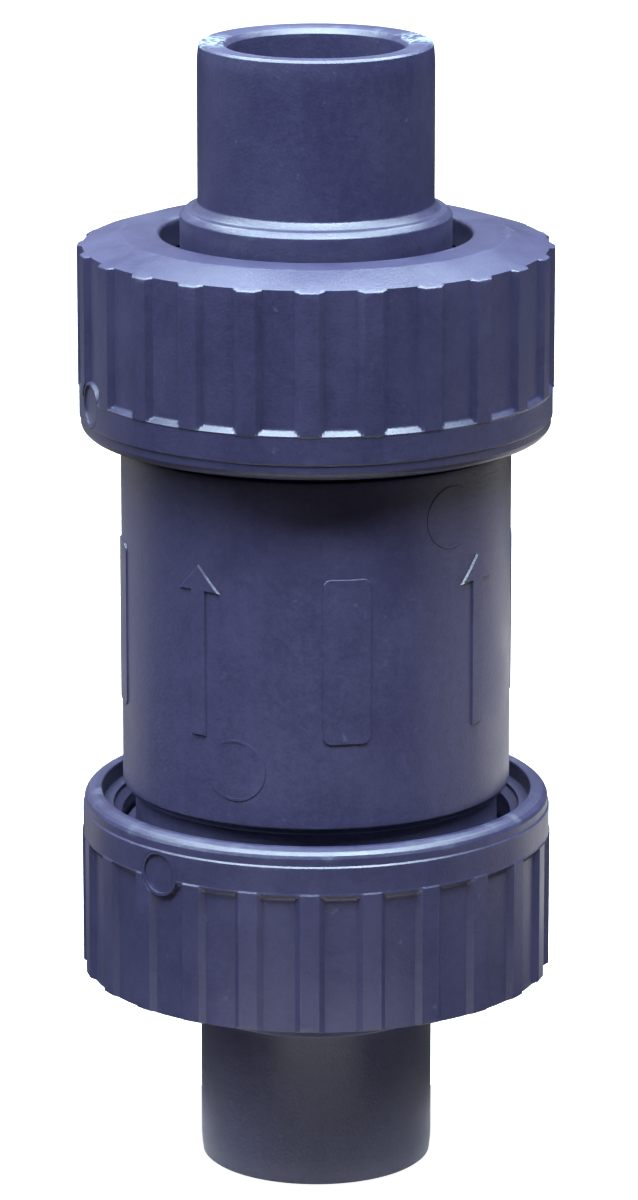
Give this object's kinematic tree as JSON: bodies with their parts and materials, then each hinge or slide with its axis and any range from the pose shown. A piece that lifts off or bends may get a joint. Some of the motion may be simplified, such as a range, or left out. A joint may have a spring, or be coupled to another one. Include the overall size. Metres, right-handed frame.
{
  "type": "check valve",
  "caption": "Union-ended plastic check valve: ribbed union nuts, plain pipe spigots, round body and an inner sprung cone that lifts with the flow.",
  "frame": {"origin": "centre of the inlet end face, on the valve's axis", "axes": "+Z along the valve's axis in the flow direction, towards the outlet; -Y is the side with one flow arrow 36 degrees to the left"},
  "size_m": [0.0646, 0.0646, 0.1564],
  "materials": {
    "pvc_body": "satin moulded dark slate PVC-U",
    "pvc_inner": "smooth moulded dark slate PVC-U",
    "bush_plastic": "waxy off-white PTFE",
    "elastomer": "matt black EPDM",
    "stainless": "bright stainless steel"
  },
  "bodies": {
    "body": {"valve_body": "pvc_body", "outlet_face_seal": "elastomer", "inlet_face_seal": "elastomer", "seat_ring": "pvc_inner", "seat_ring_seal": "elastomer", "guide_cage": "pvc_inner", "guide_bush": "bush_plastic", "spring": "stainless"},
    "cone": {"cone": "pvc_inner", "cone_seal": "elastomer", "seal_retainer": "pvc_inner", "retainer_screw": "stainless", "spring_washer": "stainless"},
    "outlet_tailpiece": {"outlet_tailpiece": "pvc_body"},
    "outlet_nut": {"outlet_union_nut": "pvc_body"},
    "inlet_tailpiece": {"inlet_tailpiece": "pvc_body"},
    "inlet_nut": {"inlet_union_nut": "pvc_body"}
  },
  "joints": [
    {"name": "cone_lift", "type": "slide", "parent": "body", "child": "cone", "axis": [0, 0, 1], "range_m": [0, 0.009], "stiffness_N_per_m": 200, "springref_m": -0.0115, "deforming": ["spring"]},
    {"name": "outlet_tailpiece_travel", "type": "slide", "parent": "body", "child": "outlet_tailpiece", "axis": [0, 0, 1], "range_m": [0, 0.012]},
    {"name": "outlet_nut_turn", "type": "hinge", "parent": "outlet_tailpiece", "child": "outlet_nut", "pos_m": [0, 0, 0.1175], "axis": [0, 0, 1], "range_deg": [0, 1080]},
    {"name": "inlet_tailpiece_travel", "type": "slide", "parent": "body", "child": "inlet_tailpiece", "axis": [0, 0, -1], "range_m": [0, 0.012]},
    {"name": "inlet_nut_turn", "type": "hinge", "parent": "inlet_tailpiece", "child": "inlet_nut", "pos_m": [0, 0, 0.0389], "axis": [0, 0, -1], "range_deg": [0, 1080]}
  ],
  "couplings": [
    {"joint": "outlet_tailpiece_travel", "follows": "outlet_nut_turn", "m_per_rad": 0.0006366},
    {"joint": "inlet_tailpiece_travel", "follows": "inlet_nut_turn", "m_per_rad": 0.0006366}
  ]
}
